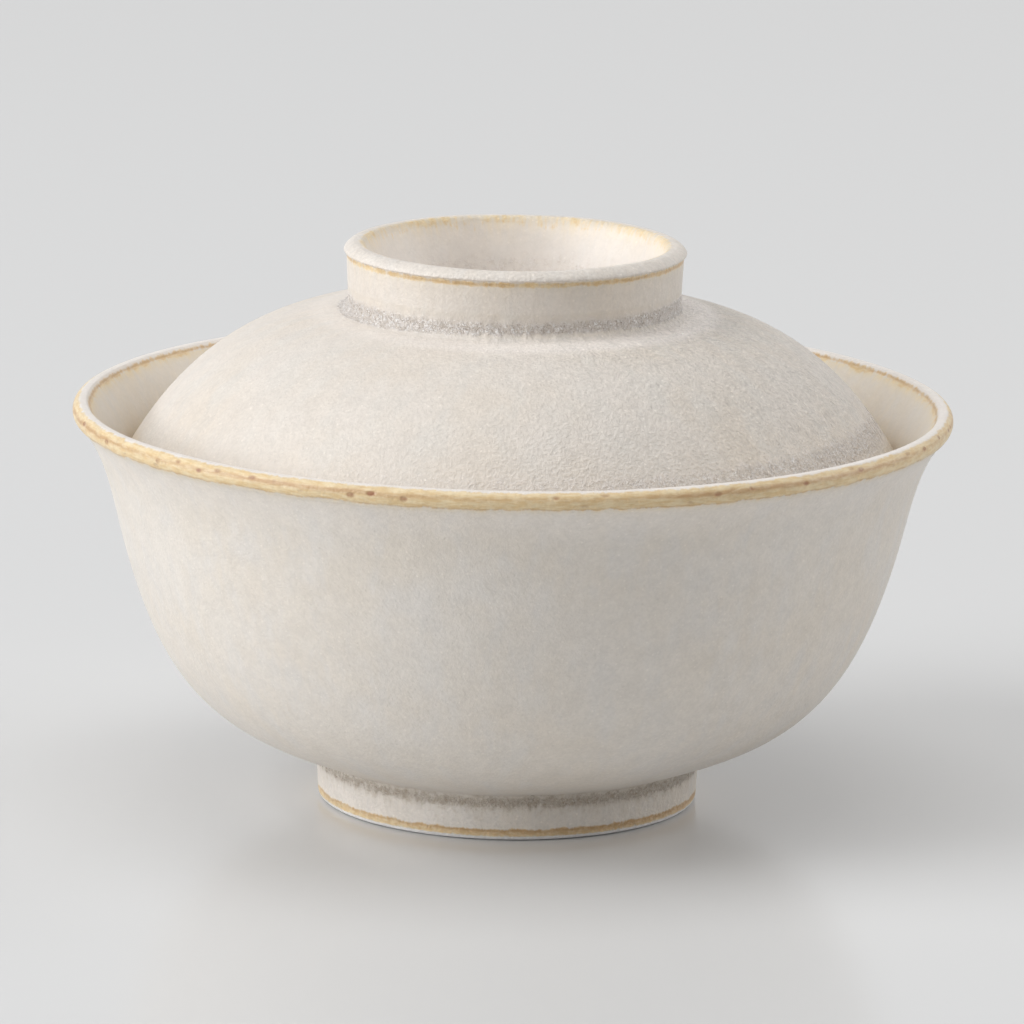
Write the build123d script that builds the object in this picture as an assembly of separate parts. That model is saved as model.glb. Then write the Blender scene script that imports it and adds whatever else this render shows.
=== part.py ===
from build123d import *
import os
from math import cos, radians, sin

# A donburi (rice bowl) with its lid: two pieces of fired and glazed stoneware.
# The bowl stands on a turned foot ring and flares to a rolled rim. The lid drops inside the rim
# and rests on the sloping inner wall. Its ring-shaped knob is also the foot that it stands on
# when it is turned over and used as a small dish.
#
# Millimetres. The origin is on the table at the centre of the foot, and +Z is the turning axis.
# Each outline is drawn once, as radius and height, and turned about +Z.
# Angles are in degrees above the outward radius. A pull says how far a curve holds the slope
# of one of its ends, as a share of the straight distance between them.

# ---- bowl: outside ----
rim_r = 76.0            # widest radius, at the bead round the rim
bowl_h = 69.85          # table to the flat top of the lip
bead_drop = 1.9         # lip top down to the widest line of the bead
bead_h = 3.6            # lip top down to the lower edge of the bead
bead_undercut = 1.25    # how far that lower edge is drawn in from the widest line
lip_shoulder = 1.35     # how far the flat of the lip starts inside the widest line
flare_h = 18.85         # lip top down to the waist, where the wall starts to flare
flare_out = 7.5         # how far the rim stands out beyond the waist
rim_slope = 47.0        # slope of the outer wall where it meets the bead
waist_slope = 76.9      # slope of the wall at the waist
belly_slope = 20.4      # slope of the underside where it leaves the foot
belly_pull = 0.333      # roundness of the belly beside the foot
side_pull = 0.62        # straightness of the side below the waist
flare_pull = 0.33       # straightness of the wall above the waist
rim_pull = 0.26         # straightness of the wall below the bead

# ---- bowl: foot ring ----
foot_r = 33.4           # radius of the foot where it meets the belly
foot_h = 7.9            # table to that crease
foot_draft = 0.4        # how much narrower the foot is at its bottom edge
foot_edge = 0.9         # rounding of the bottom edge
foot_ring = 3.7         # width of the flat ring that touches the table
recess_draft = 0.8      # how much the hollow of the foot narrows upwards
recess_depth = 5.6      # table to the hollow's ceiling at its rim
recess_rise = 0.5       # extra height of that ceiling at the centre
recess_share = 0.75     # share of that extra height reached half way in
foot_crease_r = 1.2     # glaze-filled crease between foot and belly
recess_corner_r = 1.5   # corner between the foot ring and the ceiling

# ---- bowl: inside ----
lip_w = 3.0             # widest line of the bead to the inner edge of the lip
lip_round = 0.7         # rounding of that inner edge
lip_wall_pull = 0.5     # how far the rounding holds the slope of the inner wall
lip_flat_pull = 0.3     # how far the rounding holds the flat of the lip
wall = 3.8              # thickness of the wall at the waist
floor_t = 5.5           # thickness of the bowl's floor at the centre
inner_rim_slope = 52.0  # slope of the inner wall at the lip
well_pull = 0.45        # flatness of the bowl's floor
inner_side_pull = 0.54  # straightness of the inner side below the waist
inner_flare_pull = 0.33 # straightness of the inner wall above the waist
inner_rim_pull = 0.30   # straightness of the inner wall below the lip

# ---- lid ----
seat_drop = 11.1        # lip top down to the line on the inner wall where the lid rests
seat_gap = 0.3          # clearance left between the lid's edge and that wall
edge_r = 2.1            # radius of the lid's rounded edge
edge_slope = -59.0      # slope of the dome where it meets the edge
under_slope = -56.0     # slope of the underside where it meets the edge
dome_rise = 26.35       # centre of the edge up to the dome beside the knob
dome_slope = -4.3       # slope of the dome beside the knob
dome_pull = 0.525       # flatness of the dome round the knob
shoulder_pull = 0.18    # steepness of the dome's shoulder
lid_wall = 4.2          # thickness of the dome beside the knob
lid_floor_t = 4.2       # thickness of the lid under the knob's dish
under_pull = 0.55       # flatness of the underside below the knob
skirt_pull = 0.10       # steepness of the underside at its edge
crown_pull = 0.33       # flatness of the underside under the dish
crown_side_pull = 0.33  # how far it holds the slope of the dome's underside

# ---- knob ring on the lid ----
knob_r = 28.65          # radius of the ring where it meets the dome
knob_h = 11.6           # dome up to the crest that the upturned lid stands on
knob_flare = 0.5        # how much wider the ring is under its lip
knob_lip_h = 1.75       # crest down to the groove under the lip
knob_lip_slope = 172.0  # slope of the lip where it meets the crest
groove_pull = 0.6       # how far the lip overhangs the groove
crest_pull = 0.5        # flatness of the lip beside the crest
knob_crest_r = 27.4     # middle of the flat crest
knob_crest_w = 0.8      # width of the flat crest
dish_mouth_r = 25.7     # radius of the dish's mouth
dish_mouth_drop = 1.0   # crest down to the mouth
mouth_pull = 0.45       # how far the mouth's rounding holds the slope of the dish's wall
mouth_crest_pull = 0.35 # how far it holds the level of the crest
dish_floor_r = 21.5     # radius of the dish's floor, before its corner is rounded
dish_depth = 11.0       # crest down to the dish's floor
knob_crease_r = 1.8     # glaze-filled crease between knob and dome
dish_corner_r = 3.0     # rounding between the dish's wall and floor

quarter_turn = 90.0
half_turn = 180.0
halvings = 40           # steps of the search for a height, to far below any clearance


def heading(angle):
    """Unit step at this angle above the outward radius."""
    return Vector(cos(radians(angle)), sin(radians(angle)))


def curve(start, start_angle, start_pull, end, end_angle, end_pull):
    """Smooth line from start to end with a given slope at each."""
    start, end = Vector(*start), Vector(*end)
    span = (end - start).length
    near = start + heading(start_angle) * (start_pull * span)
    far = end - heading(end_angle) * (end_pull * span)
    return Bezier(start, near, far, end)


def turned(edges):
    """Solid of revolution about +Z whose closed outline is given as radius and height."""
    return revolve(Plane.XZ * make_face(edges), Axis.Z)


def rounded(solid, point, radius):
    """The solid with the circular edge through this radius and height rounded."""
    on_ring = Vector(0, point[0], point[1])
    ring = solid.edges().filter_by(GeomType.CIRCLE).sort_by_distance(on_ring)[0]
    return fillet(ring, radius)


# ---- the inner wall of the bowl, which the lid also rests on ----
waist = (rim_r - flare_out, bowl_h - flare_h)
wall_step = heading(waist_slope + quarter_turn) * wall
inner_waist = (waist[0] + wall_step.X, waist[1] + wall_step.Y)
inner_lip = (rim_r - lip_w, bowl_h - lip_round)
recess_top = recess_depth + recess_rise
inner_floor = (0, recess_top + floor_t)

inner_side = curve(inner_floor, 0, well_pull, inner_waist, waist_slope, inner_side_pull)
inner_flare = curve(
    inner_waist, waist_slope, inner_flare_pull, inner_lip, inner_rim_slope, inner_rim_pull
)


def wall_at(height):
    """Position along the inner wall, and the wall it is on, at a height above the table."""
    line = inner_flare if height > inner_waist[1] else inner_side
    low, high = 0.0, 1.0
    for _ in range(halvings):
        middle = (low + high) / 2
        if (line @ middle).Y < height:
            low = middle
        else:
            high = middle
    return line, low


def make_bowl():
    bead_low = (rim_r - bead_undercut, bowl_h - bead_h)
    lip_out = (rim_r - lip_shoulder, bowl_h)
    lip_in = (rim_r - lip_w + lip_round, bowl_h)
    foot_top = (foot_r, foot_h)
    foot_bottom = (foot_r - foot_draft, foot_edge)
    rest_out = (foot_r - foot_draft - foot_edge, 0)
    rest_in = (rest_out[0] - foot_ring, 0)
    recess_rim = (rest_in[0] - recess_draft, recess_depth)

    outline = [
        inner_side,
        inner_flare,
        curve(inner_lip, inner_rim_slope, lip_wall_pull, lip_in, 0, lip_flat_pull),
        Line(lip_in, lip_out),
        ThreePointArc(lip_out, (rim_r, bowl_h - bead_drop), bead_low),
        curve(waist, waist_slope, flare_pull, bead_low, rim_slope, rim_pull),
        curve(foot_top, belly_slope, belly_pull, waist, waist_slope, side_pull),
        Line(foot_top, foot_bottom),
        RadiusArc(foot_bottom, rest_out, foot_edge),
        Line(rest_out, rest_in),
        Line(rest_in, recess_rim),
        ThreePointArc(
            recess_rim,
            (recess_rim[0] / 2, recess_depth + recess_share * recess_rise),
            (0, recess_top),
        ),
        Line((0, recess_top), inner_floor),
    ]
    bowl = turned(outline)
    bowl = rounded(bowl, foot_top, foot_crease_r)
    return rounded(bowl, recess_rim, recess_corner_r)


def make_lid():
    # the edge rolls on the wall's own slope, one clearance away from it
    line, place = wall_at(bowl_h - seat_drop)
    seat = line @ place
    up_wall = line % place
    off_wall = Vector(-up_wall.Y, up_wall.X)
    edge = seat + off_wall * (edge_r + seat_gap)

    dome_end = edge + heading(edge_slope + quarter_turn) * edge_r
    skirt_end = edge + heading(under_slope - quarter_turn) * edge_r
    edge_low = edge + heading((edge_slope + under_slope) / 2) * edge_r
    knob_base = (knob_r, edge.Y + dome_rise)
    under_knob = Vector(*knob_base) + heading(dome_slope - quarter_turn) * lid_wall
    crest = knob_base[1] + knob_h
    groove = (knob_r + knob_flare, crest - knob_lip_h)
    crest_out = (knob_crest_r + knob_crest_w / 2, crest)
    crest_in = (knob_crest_r - knob_crest_w / 2, crest)
    mouth = (dish_mouth_r, crest - dish_mouth_drop)
    dish_corner = (dish_floor_r, crest - dish_depth)
    dish_centre = (0, crest - dish_depth)
    crown = (0, crest - dish_depth - lid_floor_t)
    dish_wall = Line(mouth, dish_corner)
    wall_slope = (dish_wall % 0).get_signed_angle(Vector(1, 0, 0), Vector(0, 0, -1))

    outline = [
        curve(under_knob, dome_slope, under_pull, skirt_end, under_slope, skirt_pull),
        ThreePointArc(skirt_end, edge_low, dome_end),
        curve(knob_base, dome_slope, dome_pull, dome_end, edge_slope, shoulder_pull),
        Line(knob_base, groove),
        curve(groove, 0, groove_pull, crest_out, knob_lip_slope, crest_pull),
        Line(crest_out, crest_in),
        curve(crest_in, half_turn, mouth_crest_pull, mouth, wall_slope, mouth_pull),
        dish_wall,
        Line(dish_corner, dish_centre),
        Line(dish_centre, crown),
        curve(crown, 0, crown_pull, under_knob, dome_slope, crown_side_pull),
    ]
    lid = turned(outline)
    lid = rounded(lid, knob_base, knob_crease_r)
    return rounded(lid, dish_corner, dish_corner_r)


os.makedirs("parts", exist_ok=True)
export_step(make_bowl(), "parts/bowl.step")
export_step(make_lid(), "parts/lid.step")
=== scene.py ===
from math import cos, pi, radians, sin

import bpy
import numpy as np
from mathutils import Euler, Matrix, Vector


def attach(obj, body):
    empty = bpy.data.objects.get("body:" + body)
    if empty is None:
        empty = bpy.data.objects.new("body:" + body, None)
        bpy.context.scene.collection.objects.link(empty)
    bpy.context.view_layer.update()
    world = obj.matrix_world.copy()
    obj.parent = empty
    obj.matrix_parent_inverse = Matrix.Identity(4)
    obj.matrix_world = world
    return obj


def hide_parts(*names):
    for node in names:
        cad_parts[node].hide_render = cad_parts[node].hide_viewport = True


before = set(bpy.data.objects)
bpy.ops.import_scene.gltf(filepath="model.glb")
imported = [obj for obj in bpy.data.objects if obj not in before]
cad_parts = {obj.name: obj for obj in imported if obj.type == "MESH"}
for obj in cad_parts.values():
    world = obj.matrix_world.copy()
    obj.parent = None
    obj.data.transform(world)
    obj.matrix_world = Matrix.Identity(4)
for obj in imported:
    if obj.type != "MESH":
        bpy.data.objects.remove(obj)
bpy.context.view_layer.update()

# The looks of a donburi bowl and its lid: satin off-white glaze that breaks to tan on the edges
# and pools grey in the creases. Each piece is one turned surface. Outlines are in millimetres,
# as radius and height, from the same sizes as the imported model, and run with the air on their
# left. Angles are in degrees above the outward radius. A pull says how far a curve holds the
# slope of one of its ends, as a share of the straight distance between them.
MM = 0.001

# ---- bowl: outside ----
rim_r = 76.0            # widest radius, at the bead round the rim
bowl_h = 69.85          # table to the flat top of the lip
bead_drop = 1.9         # lip top down to the widest line of the bead
bead_h = 3.6            # lip top down to the lower edge of the bead
bead_undercut = 1.25    # how far that lower edge is drawn in from the widest line
lip_shoulder = 1.35     # how far the flat of the lip starts inside the widest line
flare_h = 18.85         # lip top down to the waist, where the wall starts to flare
flare_out = 7.5         # how far the rim stands out beyond the waist
rim_slope = 47.0        # slope of the outer wall where it meets the bead
waist_slope = 76.9      # slope of the wall at the waist
belly_slope = 20.4      # slope of the underside where it leaves the foot
belly_pull = 0.333      # roundness of the belly beside the foot
side_pull = 0.62        # straightness of the side below the waist
flare_pull = 0.33       # straightness of the wall above the waist
rim_pull = 0.26         # straightness of the wall below the bead

# ---- bowl: foot ring ----
foot_r = 33.4           # radius of the foot where it meets the belly
foot_h = 7.9            # table to that crease
foot_draft = 0.4        # how much narrower the foot is at its bottom edge
foot_edge = 0.9         # rounding of the bottom edge
foot_ring = 3.7         # width of the flat ring that touches the table
recess_draft = 0.8      # how much the hollow of the foot narrows upwards
recess_depth = 5.6      # table to the hollow's ceiling at its rim
recess_rise = 0.5       # extra height of that ceiling at the centre
recess_share = 0.75     # share of that extra height reached half way in
foot_crease_r = 1.2     # glaze-filled crease between foot and belly
recess_corner_r = 1.5   # corner between the foot ring and the ceiling

# ---- bowl: inside ----
lip_w = 3.0             # widest line of the bead to the inner edge of the lip
lip_round = 0.7         # rounding of that inner edge
lip_wall_pull = 0.5     # how far the rounding holds the slope of the inner wall
lip_flat_pull = 0.3     # how far the rounding holds the flat of the lip
wall = 3.8              # thickness of the wall at the waist
floor_t = 5.5           # thickness of the bowl's floor at the centre
inner_rim_slope = 52.0  # slope of the inner wall at the lip
well_pull = 0.45        # flatness of the bowl's floor
inner_side_pull = 0.54  # straightness of the inner side below the waist
inner_flare_pull = 0.33 # straightness of the inner wall above the waist
inner_rim_pull = 0.30   # straightness of the inner wall below the lip

# ---- lid ----
seat_drop = 11.1        # lip top down to the line on the inner wall where the lid rests
seat_gap = 0.3          # clearance left between the lid's edge and that wall
edge_r = 2.1            # radius of the lid's rounded edge
edge_slope = -59.0      # slope of the dome where it meets the edge
under_slope = -56.0     # slope of the underside where it meets the edge
dome_rise = 26.35       # centre of the edge up to the dome beside the knob
dome_slope = -4.3       # slope of the dome beside the knob
dome_pull = 0.525       # flatness of the dome round the knob
shoulder_pull = 0.18    # steepness of the dome's shoulder
lid_wall = 4.2          # thickness of the dome beside the knob
lid_floor_t = 4.2       # thickness of the lid under the knob's dish
under_pull = 0.55       # flatness of the underside below the knob
skirt_pull = 0.10       # steepness of the underside at its edge
crown_pull = 0.33       # flatness of the underside under the dish
crown_side_pull = 0.33  # how far it holds the slope of the dome's underside

# ---- knob ring on the lid ----
knob_r = 28.65          # radius of the ring where it meets the dome
knob_h = 11.6           # dome up to the crest that the upturned lid stands on
knob_flare = 0.5        # how much wider the ring is under its lip
knob_lip_h = 1.75       # crest down to the groove under the lip
knob_lip_slope = 172.0  # slope of the lip where it meets the crest
groove_pull = 0.6       # how far the lip overhangs the groove
crest_pull = 0.5        # flatness of the lip beside the crest
knob_crest_r = 27.4     # middle of the flat crest
knob_crest_w = 0.8      # width of the flat crest
dish_mouth_r = 25.7     # radius of the dish's mouth
dish_mouth_drop = 1.0   # crest down to the mouth
mouth_pull = 0.45       # how far the mouth's rounding holds the slope of the dish's wall
mouth_crest_pull = 0.35 # how far it holds the level of the crest
dish_floor_r = 21.5     # radius of the dish's floor, before its corner is rounded
dish_depth = 11.0       # crest down to the dish's floor
knob_crease_r = 1.8     # glaze-filled crease between knob and dome
dish_corner_r = 3.0     # rounding between the dish's wall and floor

quarter_turn = 90.0
half_turn = 180.0

# ---- how finely the turned surfaces are divided ----
around = 440            # steps round the axis
rings = 210             # rings along the outline
line_steps = 500        # points on each line of an outline, before it is divided
same_point = 1e-6       # points closer than this are one
soft_corner = 0.12      # how far the glaze softens a corner of the outline
soft_steps = 4          # points of the outline in that distance
soft_reach = 3          # how far the softening looks to each side, in those distances
pole_r = 0.6            # radius of the first ring round the axis
flat_step = 3.2         # from ring to ring on a straight stretch, before all are made to fit
turn_step = 0.32        # radians that the outline turns between rings, before the same
fine_fade = 1.6         # where a fine stretch has faded out, in its half widths
half_map = 0.5          # half the width of the flat map


# ---- outlines ----
def heading(angle):
    """Unit step at this angle above the outward radius."""
    return np.array([cos(radians(angle)), sin(radians(angle))])


def line(start, end):
    """Straight line as points."""
    share = np.linspace(0, 1, line_steps)[:, None]
    return np.array(start) * (1 - share) + np.array(end) * share


def curve(start, start_angle, start_pull, end, end_angle, end_pull):
    """Smooth line with a given slope at each end, each held for a share of the distance."""
    start, end = np.array(start, float), np.array(end, float)
    span = np.linalg.norm(end - start)
    near = start + heading(start_angle) * start_pull * span
    far = end - heading(end_angle) * end_pull * span
    t = np.linspace(0, 1, line_steps)[:, None]
    u = 1 - t
    return u**3 * start + 3 * u * u * t * near + 3 * u * t * t * far + t**3 * end


def arc(start, middle, end):
    """Arc of a circle through three points."""
    (ax, ay), (bx, by), (cx, cy) = start, middle, end
    sides = np.array([[bx - ax, by - ay], [cx - ax, cy - ay]]) * 2
    squares = [bx**2 - ax**2 + by**2 - ay**2, cx**2 - ax**2 + cy**2 - ay**2]
    centre = np.linalg.solve(sides, squares)
    return about(centre, start, end)


def about(centre, start, end):
    """The shorter arc from start to end about a centre."""
    first, last = np.array(start) - centre, np.array(end) - centre
    begin = np.arctan2(first[1], first[0])
    sweep = (np.arctan2(last[1], last[0]) - begin + pi) % (2 * pi) - pi
    angles = begin + sweep * np.linspace(0, 1, line_steps)
    radius = np.linalg.norm(first)
    return centre + radius * np.column_stack([np.cos(angles), np.sin(angles)])


def left_of(points):
    """Unit normals on the left of a line."""
    step = np.gradient(points, axis=0)
    step /= np.linalg.norm(step, axis=1)[:, None]
    return np.column_stack([-step[:, 1], step[:, 0]])


def rounded(before, after, radius):
    """Two lines that meet in a corner, with an arc between them that touches both."""
    into, out_of = before[-1] - before[-2], after[1] - after[0]
    side = np.sign(into[0] * out_of[1] - into[1] * out_of[0])
    near = before + side * radius * left_of(before)
    far = after + side * radius * left_of(after)
    gap = np.linalg.norm(near[:, None] - far[None], axis=2)
    i, j = np.unravel_index(gap.argmin(), gap.shape)
    centre = (near[i] + far[j]) / 2
    return [before[:i], about(centre, before[i], after[j]), after[j + 1:]]


def smooth_step(x):
    x = np.clip(x, 0, 1)
    return x * x * (3 - 2 * x)


class Outline:
    """An outline as evenly spaced points, with its length run so far at each."""

    def __init__(self, lines):
        points = np.concatenate(lines)
        step = np.linalg.norm(np.diff(points, axis=0), axis=1)
        points = points[np.concatenate([[True], step > same_point])]
        along = np.concatenate([[0], np.cumsum(np.linalg.norm(np.diff(points, axis=0), axis=1))])
        spacing = soft_corner / soft_steps
        self.run = np.linspace(0, along[-1], int(along[-1] / spacing))
        r, z = (np.interp(self.run, along, points[:, k]) for k in (0, 1))
        ends = soft_steps * soft_reach
        reach = np.arange(-ends, ends + 1) * spacing
        weights = np.exp(-0.5 * (reach / soft_corner) ** 2)
        weights /= weights.sum()
        # mirrored in the axis and carried on past it, so that the ends stay put
        r = np.concatenate([-r[ends:0:-1], r, -r[-2:-ends - 2:-1]])
        z = np.concatenate([z[ends:0:-1], z, z[-2:-ends - 2:-1]])
        self.r = np.convolve(r, weights, "valid")
        self.z = np.convolve(z, weights, "valid")
        self.points = np.column_stack([self.r, self.z])
        self.out = left_of(self.points)
        turn = np.gradient(np.unwrap(np.arctan2(self.out[:, 1], self.out[:, 0])), self.run)
        self.bend = np.abs(turn)

    def at(self, point):
        """Length run where the outline passes nearest to a point."""
        return self.run[np.linalg.norm(self.points - np.array(point), axis=1).argmin()]

    def divide(self, fine):
        """Places of the rings: closer where the outline bends, and in the fine stretches.

        A fine stretch is given as its middle, half its width and its spacing.
        """
        weight = 1 / flat_step + self.bend / turn_step
        for middle, half, step in fine:
            weight += smooth_step(fine_fade - np.abs(self.run - middle) / half) / step
        total = np.cumsum(weight)
        inside = self.r > pole_r
        total_in = total[inside]
        places = np.linspace(total_in[0], total_in[-1], rings)
        return np.interp(places, total, self.run)


def bowl_outline():
    """The two lines of the inner wall, and the whole outline from the well to the hollow."""
    waist = np.array([rim_r - flare_out, bowl_h - flare_h])
    inner_waist = waist + heading(waist_slope + quarter_turn) * wall
    inner_lip = (rim_r - lip_w, bowl_h - lip_round)
    inner_floor = (0, recess_depth + recess_rise + floor_t)
    bead_low = (rim_r - bead_undercut, bowl_h - bead_h)
    lip_out = (rim_r - lip_shoulder, bowl_h)
    lip_in = (rim_r - lip_w + lip_round, bowl_h)
    foot_top = (foot_r, foot_h)
    foot_bottom = (foot_r - foot_draft, foot_edge)
    rest_out = (foot_r - foot_draft - foot_edge, 0)
    rest_in = (rest_out[0] - foot_ring, 0)
    recess_rim = (rest_in[0] - recess_draft, recess_depth)
    recess_top = (0, recess_depth + recess_rise)
    recess_middle = (recess_rim[0] / 2, recess_depth + recess_share * recess_rise)
    edge_centre = (foot_bottom[0] - foot_edge, foot_edge)

    inner_side = curve(inner_floor, 0, well_pull, inner_waist, waist_slope, inner_side_pull)
    inner_flare = curve(
        inner_waist, waist_slope, inner_flare_pull, inner_lip, inner_rim_slope, inner_rim_pull
    )
    side = curve(foot_top, belly_slope, belly_pull, waist, waist_slope, side_pull)
    flare = curve(waist, waist_slope, flare_pull, bead_low, rim_slope, rim_pull)
    return inner_side, inner_flare, Outline([
        inner_side,
        inner_flare,
        curve(inner_lip, inner_rim_slope, lip_wall_pull, lip_in, 0, lip_flat_pull),
        line(lip_in, lip_out),
        arc(lip_out, (rim_r, bowl_h - bead_drop), bead_low),
        flare[::-1],
        *rounded(side[::-1], line(foot_top, foot_bottom), foot_crease_r),
        about(np.array(edge_centre), foot_bottom, rest_out),
        line(rest_out, rest_in),
        *rounded(line(rest_in, recess_rim), arc(recess_rim, recess_middle, recess_top),
                 recess_corner_r),
    ])


def lid_outline(inner_side, inner_flare):
    """Named points of the lid's outline, and the outline from the dish to the crown."""
    # the edge rolls on the wall's own slope, one clearance away from it
    inner_wall = np.concatenate([inner_side, inner_flare])
    both = np.column_stack([inner_wall, left_of(inner_wall)])
    seat = [np.interp(bowl_h - seat_drop, inner_wall[:, 1], both[:, k]) for k in range(4)]
    edge = np.array(seat[:2]) + np.array(seat[2:]) * (edge_r + seat_gap)
    dome_end = edge + heading(edge_slope + quarter_turn) * edge_r
    skirt_end = edge + heading(under_slope - quarter_turn) * edge_r
    edge_low = edge + heading((edge_slope + under_slope) / 2) * edge_r
    knob_base = np.array([knob_r, edge[1] + dome_rise])
    under_knob = knob_base + heading(dome_slope - quarter_turn) * lid_wall
    crest = knob_base[1] + knob_h
    groove = (knob_r + knob_flare, crest - knob_lip_h)
    crest_out = (knob_crest_r + knob_crest_w / 2, crest)
    crest_in = (knob_crest_r - knob_crest_w / 2, crest)
    mouth = np.array([dish_mouth_r, crest - dish_mouth_drop])
    dish_corner = np.array([dish_floor_r, crest - dish_depth])
    dish_centre = (0, crest - dish_depth)
    crown = (0, crest - dish_depth - lid_floor_t)
    lean = np.degrees(np.arctan2(*(dish_corner - mouth)[::-1]))
    dome = curve(knob_base, dome_slope, dome_pull, dome_end, edge_slope, shoulder_pull)
    lip_inside = curve(crest_in, half_turn, mouth_crest_pull, mouth, lean, mouth_pull)
    lip_outside = curve(groove, 0, groove_pull, crest_out, knob_lip_slope, crest_pull)
    landmarks = {
        "dish_corner": dish_corner, "mouth": mouth, "groove": groove,
        "knob_base": knob_base, "dome_end": dome_end, "skirt_end": skirt_end,
    }
    return landmarks, Outline([
        *rounded(line(dish_centre, dish_corner), line(dish_corner, mouth), dish_corner_r),
        lip_inside[::-1],
        line(crest_in, crest_out),
        lip_outside[::-1],
        *rounded(line(groove, knob_base), dome, knob_crease_r),
        arc(dome_end, edge_low, skirt_end),
        curve(under_knob, dome_slope, under_pull, skirt_end, under_slope, skirt_pull)[::-1],
        curve(crown, 0, crown_pull, under_knob, dome_slope, crown_side_pull)[::-1],
    ])


# ---- turned surfaces ----
wave_terms = 28         # waves that add up to an unevenness
middle_r = 50.0         # middling radius of both pieces
rim_widths = 3, 15      # widths of the waves of a line round the rim


def waves(angle, run, seed, widths, height, radius=middle_r):
    """Smooth unevenness that closes round the axis, about -1 to 1.

    Its waves are about as wide as the two widths, in millimetres round a circle of this radius,
    and at least as long as the height along the outline.
    """
    rng = np.random.default_rng(seed)
    total = np.zeros(np.broadcast(angle, run).shape)
    for _ in range(wave_terms):
        width = rng.uniform(*widths)
        lobes = max(1, round(2 * pi * radius / width * rng.uniform(0.5, 1)))
        total += np.cos(lobes * angle + 2 * pi * run / height * rng.uniform(-1, 1)
                        + rng.uniform(0, 2 * pi))
    return total / np.sqrt(wave_terms / 2) / 2


def around_line(run, centre, half):
    """A soft ridge: 1 on a line round the piece, and fading out on both sides of it."""
    return np.exp(-((run - centre) / half) ** 2)


def line_waves(angle, seed, widths, radius):
    """Unevenness of a line round the piece, where the piece has this radius."""
    return waves(angle, 0, seed, widths, height=1.0, radius=radius)


def rim_waves(angle, seed):
    """Unevenness of a line round the rim."""
    return line_waves(angle, seed, rim_widths, rim_r)


def turned(name, outline, fine, relief):
    """The outline turned into a closed mesh, with relief pushed along its normals.

    Gives the piece, and the length run and the angle at each of its points.
    """
    places = outline.divide(fine)
    r = np.interp(places, outline.run, outline.r)
    z = np.interp(places, outline.run, outline.z)
    out = np.column_stack([np.interp(places, outline.run, outline.out[:, k]) for k in (0, 1)])
    angle = np.arange(around) * 2 * pi / around
    push = relief(angle[None, :], places[:, None])
    radius = r[:, None] + out[:, :1] * push
    height = z[:, None] + out[:, 1:] * push
    grid = np.stack([radius * np.cos(angle), radius * np.sin(angle), height], axis=2)
    poles = [[0, 0, outline.z[0]], [0, 0, outline.z[-1]]]
    points = np.concatenate([grid.reshape(-1, 3), poles]) * MM

    here = np.arange((rings - 1) * around)
    beside = here - here % around + (here + 1) % around
    quads = np.column_stack([here, here + around, beside + around, beside])
    first, last = rings * around, rings * around + 1
    step = np.arange(around)
    following = (step + 1) % around
    end_ring = (rings - 1) * around
    tops = np.column_stack([step, following, np.full(around, first)])
    ends = np.column_stack([step + end_ring, np.full(around, last), following + end_ring])
    mesh = bpy.data.meshes.new(name)
    mesh.from_pydata(points.tolist(), [], quads.tolist() + tops.tolist() + ends.tolist())
    mesh.shade_smooth()

    run = np.concatenate([np.repeat(places, around), [0, outline.run[-1]]])
    wrap = np.concatenate([np.tile(angle, rings), [0, 0]])
    lay_out(mesh, run / outline.run[-1], wrap / (2 * pi))
    piece = bpy.data.objects.new(name, mesh)
    bpy.context.scene.collection.objects.link(piece)
    return piece, run, wrap


def lay_out(mesh, along, turn):
    """One flat map of the turned surface: the turn across it, the length run up it."""
    corners = np.zeros(len(mesh.loops), int)
    mesh.loops.foreach_get("vertex_index", corners)
    starts = np.zeros(len(mesh.polygons), int)
    counts = np.zeros(len(mesh.polygons), int)
    mesh.polygons.foreach_get("loop_start", starts)
    mesh.polygons.foreach_get("loop_total", counts)
    u, v = turn[corners], along[corners]
    face = np.repeat(np.arange(len(starts)), counts)
    pole = corners >= rings * around
    widest = np.zeros(len(starts))
    np.maximum.at(widest, face[~pole], u[~pole])
    narrow = np.ones(len(starts))
    np.minimum.at(narrow, face[~pole], u[~pole])
    # a face across the cut keeps its corners together, and a pole is in the middle of its face
    crosses = widest - narrow > half_map
    u = np.where(crosses[face] & (u < half_map) & ~pole, u + 1, u)
    middle = np.where(crosses, 1 - 0.5 / around, (narrow + widest) / 2)
    u = np.where(pole, middle[face], u)
    flat = mesh.uv_layers.new(name="OFBake")
    flat.data.foreach_set("uv", np.column_stack([u, v]).ravel())


# ---- marks: values at each point of a mesh, for its material to read ----
least_tan = -3          # how far outside a tan stretch a mark still counts, in its softness


def mark(piece, name, values):
    """Stores a value for each point of the mesh."""
    piece.data.attributes.new(name, "FLOAT", "POINT").data.foreach_set("value", values)


def band(run, start, end):
    """Millimetres inside a stretch of the outline, and negative outside it."""
    return np.minimum(run - start, end - run)


def share(inside, softness):
    """From 0 outside to 1 inside, changing softly over the edge."""
    return smooth_step(inside / softness + 0.5)


def ridges(run, lines):
    """Soft lines round the piece, each as its place, half its width and its strength."""
    return sum(strength * around_line(run, place, half) for place, half, strength in lines)


def stretches(run, parts):
    """Stretches of the outline, each as its start, end, softness and strength."""
    return sum(strength * share(band(run, start, end), softness)
               for start, end, softness, strength in parts)


def thinned(run, parts):
    """How far inside thin, tan stretches a place is, and negative outside them.

    Each is given as its start, end, softness and the most that it counts.
    """
    inside = [np.minimum(band(run, start, end) / softness, most)
              for start, end, softness, most in parts]
    return np.clip(np.maximum.reduce(inside), least_tan, 1)


def on_right(angle):
    """From 0 on the left of the piece to 1 on its right, as the camera sees it."""
    return 0.5 + 0.5 * np.cos(angle)


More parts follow.
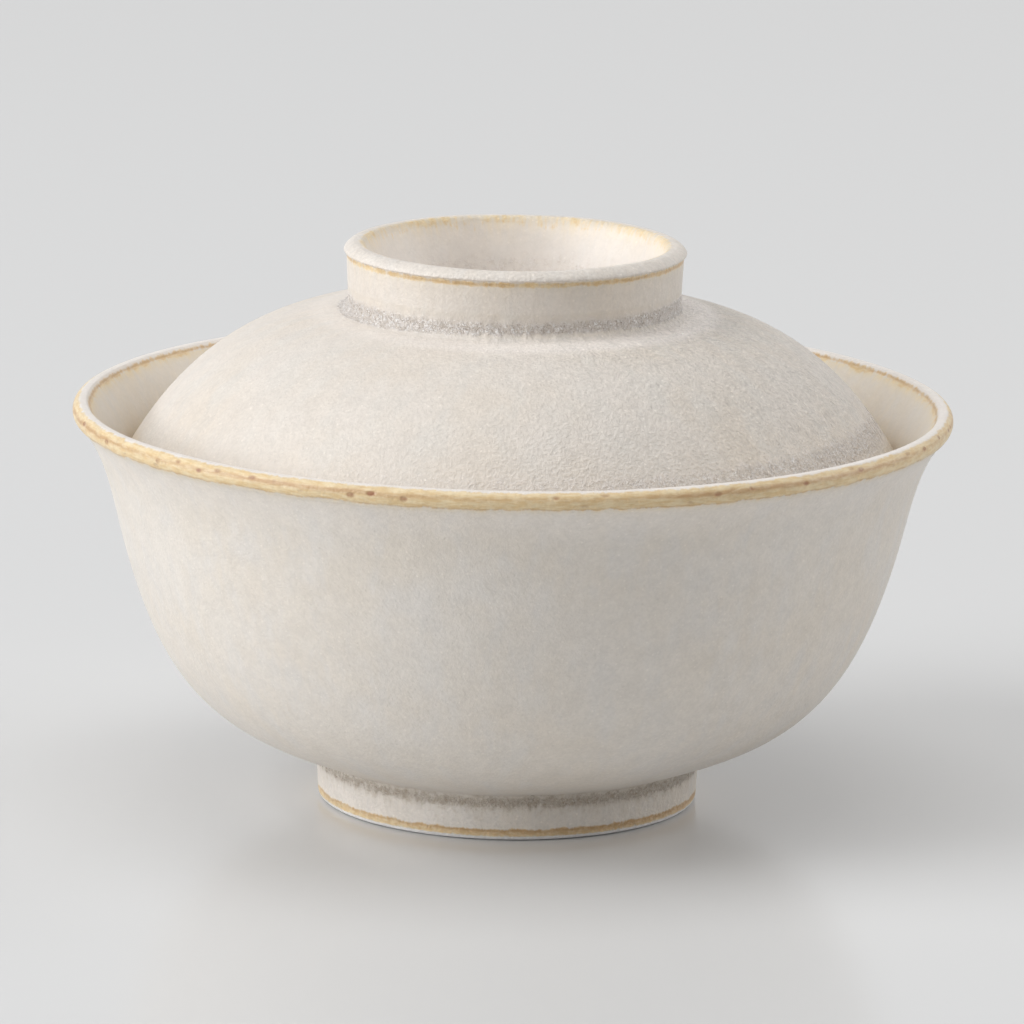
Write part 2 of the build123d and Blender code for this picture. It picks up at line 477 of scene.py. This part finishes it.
# ---- materials ----
# sockets 6 and 7 and output 2 of a Mix node are its colour ones
spot_edge = 0.4     # softness of a spot's edge, as a share of its radius
pick_edge = 0.02    # softness of the choice of the cells that have a spot


class Paint:
    """A material's nodes, made one call at a time."""

    def __init__(self, name):
        self.material = bpy.data.materials.new(name)
        self.material.use_nodes = True
        self.tree = self.material.node_tree
        self.shader = self.tree.nodes["Principled BSDF"]

    def node(self, kind, settings, links):
        made = self.tree.nodes.new("ShaderNode" + kind)
        for key, value in settings.items():
            setattr(made, key, value)
        for key, value in links.items():
            socket = made.inputs[key]
            if isinstance(value, bpy.types.NodeSocket):
                self.tree.links.new(value, socket)
            else:
                socket.default_value = value
        return made

    def stored(self, name):
        return self.node("Attribute", {"attribute_name": name}, {}).outputs["Fac"]

    def math(self, how, a, b):
        return self.node("Math", {"operation": how}, {0: a, 1: b}).outputs[0]

    def total(self, *terms):
        result = terms[0]
        for term in terms[1:]:
            result = self.math("ADD", result, term)
        return result

    def product(self, *terms):
        result = terms[0]
        for term in terms[1:]:
            result = self.math("MULTIPLY", result, term)
        return result

    def vector(self, how, a, b=(0, 0, 0)):
        return self.node("VectorMath", {"operation": how}, {0: a, 1: b}).outputs[0]

    def scaled(self, a, factor):
        return self.node("VectorMath", {"operation": "SCALE"}, {0: a, "Scale": factor}).outputs[0]

    def noise(self, where, size, detail, rough, warp=0.0):
        """Noise from 0 to 1 with features about this many millimetres wide."""
        links = {"Vector": where, "Scale": 1 / size, "Detail": detail}
        links |= {"Roughness": rough, "Distortion": warp}
        return self.node("TexNoise", {}, links).outputs["Fac"]

    def spots(self, where, size, radius, share):
        """Soft round spots of this radius in some of the cells of this size."""
        made = self.node("TexVoronoi", {}, {"Vector": where, "Scale": 1 / size})
        pick = self.node("SeparateColor", {}, {0: made.outputs["Color"]}).outputs[0]
        inner, outer = (1 - spot_edge) * radius / size, (1 + spot_edge) * radius / size
        spot = self.ramp(made.outputs["Distance"], inner, outer, 1, 0)
        return self.product(spot, self.ramp(pick, 1 - share, 1 + pick_edge - share))

    def ramp(self, value, low, high, to_low=0.0, to_high=1.0):
        """Smooth change from to_low to to_high as the value goes from low to high."""
        links = {"Value": value, "From Min": low, "From Max": high}
        links |= {"To Min": to_low, "To Max": to_high}
        kind = {"interpolation_type": "SMOOTHSTEP"}
        return self.node("MapRange", kind, links).outputs["Result"]

    def swing(self, value, low, high, amount):
        """Smooth change from -amount to amount as the value goes from low to high."""
        return self.ramp(value, low, high, -amount, amount)

    def mix(self, share, a, b):
        """Colour a where the share is 0, and b where it is 1."""
        return self.node("Mix", {"data_type": "RGBA"}, {0: share, 6: a, 7: b}).outputs[2]

    def reaches(self, value, socket):
        """Leads a value to one of the shader's sockets."""
        self.tree.links.new(value, self.shader.inputs[socket])


def colour(r, g, b):
    """Linear colour from a display colour of 0 to 255, by the sRGB curve."""
    def linear(c):
        c /= 255
        return c / 12.92 if c <= 0.04045 else ((c + 0.055) / 1.055) ** 2.4
    return (linear(r), linear(g), linear(b), 1.0)


# ---- the glaze: what it looks like ----
# the body's own colour, then its warm and its cool clouds
bowl_body = colour(228, 221, 212), colour(227, 218, 206), colour(225, 220, 214)
lid_body = colour(224, 216, 207), colour(222, 212, 200), colour(221, 215, 207)
# pooled glaze: its haze, warm haze, dark haze and crystals
bowl_pool = (colour(198, 188, 175), colour(184, 170, 153),
             colour(152, 135, 117), colour(212, 203, 192))
lid_pool = (colour(222, 214, 208), colour(214, 204, 194),
            colour(158, 142, 126), colour(250, 248, 246))
pale_glaze = colour(243, 236, 230)
tan_light = colour(234, 214, 176)
tan = colour(223, 195, 148)
tan_dark = colour(194, 158, 116)
pit_brown = colour(156, 108, 76)
bare_clay = colour(243, 241, 240)

satin = 0.40, 0.50      # least and most roughness of the plain glaze
pool_gloss = 0.22       # how much smoother it is where it has pooled
tan_gloss = 0.06        # how much smoother where it is thin and tan
bare_rough = 0.35       # how much rougher the bare clay is
glaze_ior = 1.5

# how much brighter or darker each mark is, as a share
mottle_tone = 0.028
curls_tone = 0.034
grain_tone = 0.035
# brightness of the bright flecks, which are painted glints
shine_tone = 0.13
dark_tone = -0.055
# darkness of the strokes, which is painted shade of the relief where the light grazes
stroke_painted_shade_tone = -0.08

# how far each mark stands out or is sunk, in millimetres
grain_h = 0.055
curls_h = 0.055
crystals_h = 0.16
dark_h = -0.03
strokes_h = -0.05
pits_h = -0.08

# how far the edges of pooled and of tan glaze wander with the drips and the curls
pool_drips, pool_curls = 0.10, 0.18
tan_drips, tan_curls = 0.5, 0.3


class Glaze(Paint):
    """Satin glaze on a piece that is about wheel_r in radius.

    It reads the marks of the mesh, which go from 0 to 1 unless this says otherwise:
    run    millimetres along the outline
    tan    thin over an edge, and negative away from it
    line   dark lines in the tan, and on the foot's right also painted shade
    pits   small pits in it
    cast   tan stain in the white beside it
    pool   pooled in a crease, deeper on the bowl's right as painted shade, and thinned in front of the knob on its left to paint a highlight
    pale   thick and whiter; beside the knob it also paints light, and on the foot's right it is less, as painted shade
    grain  how coarse the surface is, up to about 2; towards the lid's right it also drives painted
    relief shade and glints
    bare   bare clay

    Noises are 0 to 1 and mostly near the middle, so each ramp says where in them it starts
    and ends.
    """

    def __init__(self, name, wheel_r):
        super().__init__(name)
        self.wheel_r = wheel_r
        self.place = self.scaled(self.node("TexCoord", {}, {}).outputs["Object"], 1 / MM)
        self.round_axis = self.vector("NORMALIZE", self.vector("MULTIPLY", self.place, (1, 1, 0)))
        self.run, self.edge, self.line_share = map(self.stored, ("run", "tan", "line"))
        self.cast, self.pool, self.pale = map(self.stored, ("cast", "pool", "pale"))
        self.coarse, self.bare = map(self.stored, ("grain", "bare"))

        self.clouds = self.noise(self.place, size=17.0, detail=3.0, rough=0.55)
        self.veil = self.noise(self.spread(along=1.0, down=2.2), size=5.5, detail=3.0, rough=0.6)
        self.mottle = self.noise(self.place, size=3.2, detail=3.0, rough=0.6)
        self.curls = self.noise(self.place, size=1.2, detail=3.0, rough=0.68, warp=0.1)
        self.grain = self.noise(self.place, size=0.6, detail=2.0, rough=0.6)
        self.drips = self.noise(self.spread(along=1.0, down=2.4), size=1.3, detail=3.0, rough=0.6)
        self.stripes = self.noise(self.spread(along=4.0, down=1.0), size=0.55, detail=3.0,
                                  rough=0.62)
        self.specks = self.noise(self.place, size=0.46, detail=2.0, rough=0.6, warp=1.2)

    def spread(self, along, down):
        """Place on the surface, with features drawn out along the wheel and down the piece."""
        fall = self.node("CombineXYZ", {}, {2: self.math("DIVIDE", self.run, down)}).outputs[0]
        return self.vector("ADD", self.scaled(self.round_axis, self.wheel_r / along), fall)

    def clouded(self, tones):
        """The body's colour: clouds, a tan stain beside an edge, and whiter where it is thick and
        where light is painted beside the knob.
        """
        body, warm, cool = tones
        body = self.mix(self.ramp(self.clouds, 0.30, 0.70), body, warm)
        body = self.mix(self.ramp(self.veil, 0.42, 0.72, 0.0, 0.7), body, cool)
        stain = self.product(self.cast, self.ramp(self.drips, 0.25, 0.75, 0.5, 1.5))
        body = self.mix(stain, body, tan_light)
        return self.mix(self.pale, body, pale_glaze)

    def wetness(self):
        """How far the glaze has pooled in the creases, with a ragged edge, and with the painted
        shade and highlight that the pool mark carries.
        """
        ragged = self.product(self.swing(self.drips, 0.25, 0.75, pool_drips), self.coarse)
        wet = self.total(self.pool, ragged, self.swing(self.curls, 0.30, 0.70, pool_curls))
        return self.product(self.ramp(wet, 0.10, 0.75), self.ramp(self.pool, 0.0, 0.15))

    def pooled(self, tones):
        """Colour of pooled glaze, and how far crystals crowd it where it is deep."""
        haze, warm_haze, dark_haze, crystal = tones
        drift = self.noise(self.place, size=0.9, detail=3.0, rough=0.65)
        body = self.mix(self.ramp(drift, 0.38, 0.62), haze, warm_haze)
        crowd = self.ramp(self.pool, 0.22, 0.58)
        dark = self.product(crowd, self.ramp(self.specks, 0.30, 0.46, 0.75, 0.0))
        body = self.mix(dark, body, dark_haze)
        pale = self.product(crowd, self.ramp(self.specks, 0.54, 0.66, 0.0, 0.85))
        return self.mix(pale, body, crystal), crowd

    def burnt(self):
        """Colour where the clay burns through thin glaze, with darker lines, and its pits."""
        body = self.mix(self.ramp(self.stripes, 0.35, 0.65), tan_light, tan)
        lines = self.product(self.line_share, self.ramp(self.stripes, 0.30, 0.62, 0.6, 1.1))
        body = self.mix(lines, body, tan_dark)
        pits = self.spots(self.spread(along=1.5, down=1.0), size=1.8, radius=0.44, share=0.9)
        pits = self.product(pits, self.stored("pits"))
        pits = self.product(pits, self.ramp(self.veil, 0.37, 0.47))
        depth = self.product(pits, self.ramp(self.curls, 0.3, 0.6, 0.5, 1.0))
        return self.mix(depth, body, pit_brown), pits

    def thinness(self):
        """How far the glaze is thin enough to be tan, with a ragged edge."""
        thin = self.total(self.edge, self.swing(self.drips, 0.22, 0.78, tan_drips),
                          self.swing(self.curls, 0.3, 0.7, tan_curls))
        return self.ramp(thin, -0.55, 0.55)

    def flecks(self):
        """Short strokes down the piece, and bright and dark flecks, where it is coarse. The
        strokes' darkness is painted shade of the relief, and the bright flecks are painted glints.
        """
        strokes = self.spread(along=1.0, down=3.5)
        strokes = self.noise(strokes, size=0.8, detail=2.0, rough=0.6)
        strokes = self.product(self.ramp(strokes, 0.54, 0.68), self.ramp(self.coarse, 1.0, 1.7))
        shine = self.product(self.spots(self.place, size=1.0, radius=0.19, share=0.4), self.coarse)
        dark = self.product(self.spots(self.place, size=1.3, radius=0.22, share=0.4), self.coarse)
        return strokes, shine, dark


def glaze(name, wheel_r, body_tones, pool_tones):
    """The glaze of one piece: its colour, its roughness and its fine relief."""
    p = Glaze(name, wheel_r)
    body = p.clouded(body_tones)
    wet = p.wetness()
    pooled, crowd = p.pooled(pool_tones)
    body = p.mix(wet, body, pooled)
    burnt, pits = p.burnt()
    thin = p.thinness()
    body = p.mix(thin, body, burnt)
    body = p.mix(p.bare, body, bare_clay)
    strokes, shine, dark = p.flecks()
    tone = p.total(
        1.0,
        p.swing(p.mottle, 0.28, 0.72, mottle_tone),
        p.product(p.swing(p.curls, 0.30, 0.70, curls_tone), p.coarse),
        p.product(p.swing(p.grain, 0.25, 0.75, grain_tone), p.coarse),
        # painted glints
        p.product(shine, shine_tone),
        p.product(dark, dark_tone),
        # painted shade of the relief
        p.product(strokes, stroke_painted_shade_tone),
    )
    p.reaches(p.scaled(body, tone), "Base Color")

    rough = p.total(
        p.ramp(p.mottle, 0.25, 0.75, *satin),
        p.product(wet, -pool_gloss),
        p.product(thin, -tan_gloss),
        p.product(p.bare, bare_rough),
    )
    p.reaches(rough, "Roughness")
    p.shader.inputs["IOR"].default_value = glaze_ior

    height = p.total(
        p.product(p.ramp(p.grain, 0.2, 0.8, 0.0, grain_h), p.coarse, p.coarse),
        p.product(p.ramp(p.curls, 0.2, 0.8, 0.0, curls_h), p.coarse),
        p.product(p.ramp(p.specks, 0.2, 0.8, 0.0, crystals_h), wet, crowd),
        p.product(dark, dark_h),
        p.product(strokes, strokes_h),
        p.product(pits, pits_h),
    )
    bump = p.node("Bump", {}, {"Height": height, "Distance": MM, "Strength": 1.0})
    p.reaches(bump.outputs["Normal"], "Normal")
    return p.material


def finish_piece(piece, run, marks, material, body):
    """Gives a piece its marks and its material, and hands it to the frame."""
    mark(piece, "run", run)
    for name, values in marks.items():
        mark(piece, name, values)
    piece.data.materials.append(material)
    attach(piece, body)
    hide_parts(body)


# ---- the bowl's surface ----
bowl_wheel_r = 66.0     # radius at which its glaze is laid out round the axis
inner_side, inner_flare, bowl_line = bowl_outline()
lip_in_run = bowl_line.at((rim_r - lip_w, bowl_h - lip_round))
lip_out_run = bowl_line.at((rim_r - lip_shoulder, bowl_h))
bead_low_run = bowl_line.at((rim_r - bead_undercut, bowl_h - bead_h))
waist_run = bowl_line.at((rim_r - flare_out, bowl_h - flare_h))
crease_run = bowl_line.at((foot_r, foot_h))
foot_line_run = bowl_line.at((foot_r - foot_draft, foot_edge))
foot_rest_run = bowl_line.at((foot_r - foot_draft - foot_edge, 0))
foot_hollow_run = bowl_line.at((foot_r - foot_draft - foot_edge - foot_ring, 0))

bead_tan_run = bead_low_run - 1.2     # where the bead's tan ends
foot_tan_run = foot_line_run - 1.1    # where the tan above the foot's bare edge starts
foot_pool_run = crease_run + 1.05     # where most glaze has pooled at the foot

# ---- the bowl's relief, in millimetres ----
wheel_depth = 0.07    # unevenness left by the wheel and the glaze
bead_fill = 0.22      # glaze gathered under the bead
fill_drop = 0.2       # how far below the bead's lower edge it is deepest
fill_up = 1.0         # how far it reaches up from there
fill_down = 4.0       # and down
tan_step = 0.06       # how much lower the surface is past the end of the bead's tan
tan_step_w = 0.4      # width of that step
tan_step_fade = 10    # how far above the waist the step starts to fade out
bead_wander = 0.2     # how far the end of the bead's tan goes up and down
crease_fill = 0.07    # drips of glaze in the crease of the foot
crease_fill_w = 2.0   # how far they reach
rest_fade = 1.5       # the relief fades out this close to the ring that touches the table


def bowl_relief(angle, run):
    """How far the bowl's surface stands out of its outline."""
    uneven = waves(angle, run, seed=11, widths=(25, 90), height=60.0)
    uneven = wheel_depth * np.minimum(uneven - 1, 0)
    under = run - bead_low_run - fill_drop
    filled = bead_fill * around_line(under, 0, np.where(under < 0, fill_up, fill_down))
    wander = bead_wander * rim_waves(angle, 12)
    step = -tan_step * smooth_step((run - bead_tan_run - wander) / tan_step_w)
    step = step * smooth_step((waist_run - run) / tan_step_fade)
    drips = waves(angle, run, seed=13, widths=(1.5, 5), height=6.0, radius=foot_r)
    crease = crease_fill * drips * around_line(run, foot_pool_run, crease_fill_w)
    from_ring = np.abs(run - foot_rest_run - foot_ring / 2) - foot_ring / 2
    return (uneven + filled + step + crease) * smooth_step(from_ring / rest_fade)


# fine stretches: middle, half the width, spacing of the rings
bowl, run, angle = turned("bowl_glazed", bowl_line, [
    (lip_in_run, 1.8, 0.30),
    ((lip_out_run + bead_low_run) / 2, 3.0, 0.22),
    (foot_pool_run, 2.5, 0.35),
    (foot_line_run, 1.6, 0.2),
], bowl_relief)

# ---- the bowl's marks: places and widths in millimetres along the outline ----
right = on_right(angle)
bead_end = bead_tan_run + 0.15 + bead_wander * rim_waves(angle, 12)
foot_start = foot_tan_run + 0.16 * line_waves(angle, 14, (2, 9), foot_r)
bead_start = lip_out_run + 0.25 + 0.15 * right + 0.1 * rim_waves(angle, 15)
lip_start = lip_in_run - 0.65 + 0.25 * rim_waves(angle, 16)
bead_line = lip_out_run + 1.75 + 0.12 * rim_waves(angle, 17)
bead_line_share = np.clip(0.85 + 0.5 * line_waves(angle, 18, (25, 80), rim_r), 0.3, 1.2)
below_bead = np.maximum(run - bead_end, 0)
inner_end = lip_in_run - 0.5                    # where the inner wall's stain ends
below_lip = np.maximum(inner_end - run, 0)
foot_wall = foot_pool_run + 0.8, foot_line_run

bead_stain = 0.26 * around_line(below_bead, 0, 1.3) + 0.10 * np.exp(-below_bead / 3)
inner_stain = 0.12 + 0.5 * around_line(below_lip, 0, 1.2)
belly_pool = ridges(run, [(foot_pool_run, 0.8, 0.36), (foot_pool_run, 3.5, 0.40)])
foot_pool = ridges(run, [(foot_pool_run, 1.0, 0.46), (foot_pool_run, 3.2, 0.30)])

bowl_marks = {
    "tan": thinned(run, [
        (bead_start, bead_end, 0.5, 1),
        (lip_start, lip_in_run + 0.25, 0.5, 1),
        (foot_start, foot_line_run + 0.15, 0.35, 1),
    ]),
    "line": np.clip(ridges(run, [
        (bead_line, 0.40, bead_line_share),
        (bead_end - 0.12, 0.2, 0.65),
        (lip_in_run, 0.35, 0.8),
        # darker lines on the foot's right: painted shade
        (foot_start + 0.2, 0.3, 0.7 + 0.6 * right),
        (foot_line_run - 0.4, 0.5, 0.7 * right),
    ]), 0, 1),
    "pits": ridges(run, [(lip_out_run + 1.9, 1.0, 1.0)]),
    "cast": np.clip((run > bead_end) * bead_stain + (run < inner_end) * inner_stain
                    + stretches(run, [(*foot_wall, 1.0, 0.05)]), 0, 1),
    # the pool round the foot deepens towards the right: painted shade
    "pool": np.where(run < foot_pool_run, belly_pool, foot_pool) * (0.85 + 0.25 * right),
    "pale": stretches(run, [
        (lip_in_run + 0.3, lip_out_run + 0.5, 0.3, 0.65),
        (bead_end + 0.6, bead_end + 6, 2.0, 0.26),
        # the foot wall is less pale on the right: painted shade
        (*foot_wall, 1.0, 0.45 - 0.3 * right),
    ]),
    "grain": 0.3 + 0.32 * share(run - lip_in_run, 0.8) + 0.4 * share(run - foot_pool_run, 1.5),
    "bare": stretches(run, [(foot_line_run + 0.25, foot_hollow_run - 0.3, 0.25, 1.0)]),
}
bowl_glaze = glaze("bowl_glaze", bowl_wheel_r, bowl_body, bowl_pool)
finish_piece(bowl, run, bowl_marks, bowl_glaze, "bowl")

# ---- the lid's surface ----
lid_wheel_r = 46.0      # radius at which its glaze is laid out round the axis
lid_at, lid_line = lid_outline(inner_side, inner_flare)
dish_corner_run, mouth_run, groove_run, knob_run, dome_end_run, skirt_end_run = (
    lid_line.at(lid_at[name])
    for name in ("dish_corner", "mouth", "groove", "knob_base", "dome_end", "skirt_end")
)

# ---- the lid's relief, in millimetres ----
knob_fill = 0.08      # drips of glaze in the crease round the knob
knob_fill_run = knob_run - 1.2    # where they are strongest
knob_fill_w = 2.4     # how far they reach
dish_fill = 0.06      # drips in the corner of the dish
dish_fill_w = 2.0     # how far they reach
lip_depth = 0.08      # unevenness of the knob's lip
lip_depth_w = 1.0     # how far it reaches


def lid_relief(angle, run):
    """How far the lid's surface stands out of its outline."""
    uneven = waves(angle, run, seed=21, widths=(20, 70), height=50.0)
    uneven = wheel_depth * np.minimum(uneven - 1, 0)
    drips = waves(angle, run, seed=22, widths=(1.2, 4), height=4.0, radius=knob_r)
    crease = knob_fill * drips * around_line(run, knob_fill_run, knob_fill_w)
    corner = dish_fill * drips * around_line(run, dish_corner_run, dish_fill_w)
    lip = waves(angle, run, seed=23, widths=(4, 20), height=30.0, radius=knob_r)
    lip = lip_depth * np.minimum(lip - 1, 0) * around_line(run, groove_run, lip_depth_w)
    return uneven + crease + corner + lip


lid, run, angle = turned("lid_glazed", lid_line, [
    (dish_corner_run, 3.0, 0.5),
    (mouth_run + 0.5, 2.0, 0.3),
    (groove_run, 1.6, 0.2),
    (knob_run - 1.5, 3.2, 0.3),
    (dome_end_run, 4.0, 0.7),
], lid_relief)

# ---- the lid's marks: places and widths in millimetres along the outline ----
right = on_right(angle)
in_front = np.clip(-np.sin(angle), 0, 1) ** 2
knob_waves = line_waves(angle, 24, (3, 14), knob_r)
crease_end = knob_run + 0.65 - 0.8 * in_front - 0.4 * right + 1.4 * (1 - right) ** 2
crease_end += 0.18 * line_waves(angle, 25, (1, 4), knob_r)
groove_line_share = np.clip(0.7 + 0.6 * line_waves(angle, 26, (8, 40), knob_r), 0, 1)
under_mouth = np.maximum(mouth_run - 0.4 - run, 0)
under_groove = np.maximum(run - groove_run - 0.8, 0)

mouth_start = mouth_run - 0.2 + 0.7 * knob_waves
groove_end = groove_run + 0.8 + 0.06 * knob_waves
dish_stain = (0.55 + 0.2 * knob_waves) * around_line(under_mouth, 0, 1.8)
knob_stain = 0.05 + 0.25 * np.exp(-under_groove / 0.8)
on_knob = (run > groove_run + 0.7) * (run < knob_run)
crease_pool = np.minimum((run - knob_run + 3.7) / 1.3, (crease_end - run) / 0.6)
crease_depth_and_highlight = 0.72 - 0.28 * np.cos(angle + pi * 2 / 3)   # least in front, on the left, where the pool is thinned to paint a highlight
dish_pool = np.clip(band(run, dish_corner_run - 6, dish_corner_run + 6.5) / 4, 0, 0.37)
edge_pool = stretches(run, [(dome_end_run - 10.3, dome_end_run - 5, 3, 0.70)])
# coarser towards the lid's right, where the light grazes: deeper bumps, plus stronger grain tones,
# strokes and flecks that paint relief shade and glints there
dome_coarse_and_relief_shade = 0.1 + (1.1 + 0.5 * around_line(run, knob_run + 7, 6)) * right**2

lid_marks = {
    "tan": thinned(run, [
        (mouth_start, mouth_run + 1.3, 0.9, -0.25 + 0.3 * knob_waves),
        (groove_run + 0.1, groove_end, 0.3, 0.5),
        (dome_end_run - 0.4, skirt_end_run + 0.4, 0.6, 1),
    ]),
    "line": np.clip(ridges(run, [(groove_run + 0.45, 0.28, 0.6)]) * groove_line_share, 0, 1),
    "pits": ridges(run, [(groove_run + 0.4, 0.4, 0.25)]),
    "cast": np.clip((run < mouth_run + 1.4) * dish_stain + on_knob * knob_stain
                    + stretches(run, [(dome_end_run - 3.5, dome_end_run, 2.5, 0.35)]), 0, 1),
    "pool": np.clip(np.maximum.reduce([
        crease_pool * crease_depth_and_highlight, dish_pool, edge_pool * (0.1 + 0.9 * right),
    ]), 0, 1),
    "pale": stretches(run, [
        (-5, mouth_run, 1.5, 0.45),
        (mouth_run + 1.3, knob_run - 4, 0.5, 0.2),
        # whiter beside the knob, most on its right: painted light that lifts the knob's shadow
        (knob_run + 0.6, knob_run + 6.5, 3.0, 0.25 + 0.75 * right),
    ]),
    "grain": 0.4 + 0.25 * share(run - mouth_run, 1.5) + stretches(run, [
        (mouth_run + 0.6, groove_run + 0.4, 1.0, 0.5),
        (knob_run - 1, skirt_end_run, 2.0, dome_coarse_and_relief_shade),
    ]) - 0.15 * share(run - skirt_end_run, 2.0),
    "bare": np.zeros_like(run),
}
lid_glaze = glaze("lid_glaze", lid_wheel_r, lid_body, lid_pool)
finish_piece(lid, run, lid_marks, lid_glaze, "lid")

# ---- floor ----
floor_side = 8.0      # metres
floor_drop = 0.1      # millimetres below the foot, so that the two faces never coincide
floor_grey = 220
floor_rough = 0.2
floor_mesh = bpy.data.meshes.new("floor")
half = floor_side / 2
floor_mesh.from_pydata([(-half, -half, 0), (half, -half, 0), (half, half, 0), (-half, half, 0)],
                       [], [(0, 1, 2, 3)])
floor = bpy.data.objects.new("floor", floor_mesh)
floor.location.z = -floor_drop * MM
bpy.context.scene.collection.objects.link(floor)
ground = Paint("floor")
ground.shader.inputs["Base Color"].default_value = colour(floor_grey, floor_grey, floor_grey)
ground.shader.inputs["Roughness"].default_value = floor_rough
floor_mesh.materials.append(ground.material)

# ---- camera ----
camera_back = 1.26        # metres in front of the axis
camera_side = 0.0001      # and to its right
camera_up = 0.32595       # and above the table
look_down = 0.21551       # radians
roll = 0.01592            # radians
focal = 7447.0 / 1024     # in picture widths
sensor_w = 36.0           # millimetres
sight = 20.0              # metres
eye = bpy.data.cameras.new("camera")
eye.sensor_width = sensor_w
eye.lens = focal * eye.sensor_width
eye.clip_end = sight
camera = bpy.data.objects.new("camera", eye)
tilt = Euler((pi / 2 - look_down, 0, 0)).to_matrix() @ Matrix.Rotation(roll, 3, "Z")
camera.matrix_world = Matrix.Translation((camera_side, -camera_back, camera_up)) @ tilt.to_4x4()
bpy.context.scene.collection.objects.link(camera)
bpy.context.scene.camera = camera


# ---- light ----
lamp_away = 3.0           # metres from the middle of the bowl
white = 1.0, 1.0, 1.0
cool_white = 0.985, 1.0, 1.015


def softbox(name, azimuth, elevation, width, height, power, tint=white):
    """Soft light that faces the object, with its angles in degrees and its sizes in metres.

    Azimuth 0 is the camera's side, and more is to its right.
    """
    lamp = bpy.data.lights.new(name, "AREA")
    lamp.shape = "RECTANGLE"
    lamp.size, lamp.size_y = width, height
    lamp.energy = power
    lamp.color = tint
    a, e = radians(azimuth), radians(elevation)
    place = Vector((sin(a) * cos(e), -cos(a) * cos(e), sin(e))) * lamp_away
    made = bpy.data.objects.new(name, lamp)
    made.location = place + Vector((0, 0, bowl_h / 2 * MM))
    made.rotation_euler = (-place).to_track_quat("-Z", "Y").to_euler()
    bpy.context.scene.collection.objects.link(made)


softbox("key", azimuth=-72, elevation=31, width=1.9, height=3.0, power=66.5, tint=cool_white)
softbox("low", azimuth=-80, elevation=8, width=2.4, height=0.8, power=15.0)
softbox("top", azimuth=0, elevation=88, width=1.9, height=1.9, power=25.0)
softbox("fill", azimuth=100, elevation=25, width=1.9, height=1.9, power=25.5)

# the pale room: the light that it gives, and its brightness as seen, also in reflections
room_light = 0.27
room_seen = 0.79
world = bpy.data.worlds.new("studio")
world.use_nodes = True
bpy.context.scene.world = world
tree = world.node_tree
rays = tree.nodes.new("ShaderNodeLightPath")
seen = tree.nodes.new("ShaderNodeMath")
seen.operation = "MAXIMUM"
mirrored = tree.nodes.new("ShaderNodeMath")
mirrored.operation = "MAXIMUM"
tree.links.new(rays.outputs["Is Glossy Ray"], mirrored.inputs[0])
tree.links.new(rays.outputs["Is Transmission Ray"], mirrored.inputs[1])
tree.links.new(rays.outputs["Is Camera Ray"], seen.inputs[0])
tree.links.new(mirrored.outputs[0], seen.inputs[1])
shade = tree.nodes.new("ShaderNodeMix")
shade.data_type = "RGBA"
shade.inputs[6].default_value = (room_light, room_light, room_light, 1)
shade.inputs[7].default_value = (room_seen, room_seen, room_seen, 1)
tree.links.new(seen.outputs[0], shade.inputs[0])
tree.links.new(shade.outputs[2], tree.nodes["Background"].inputs["Color"])

bpy.context.scene.view_settings.view_transform = "Standard"
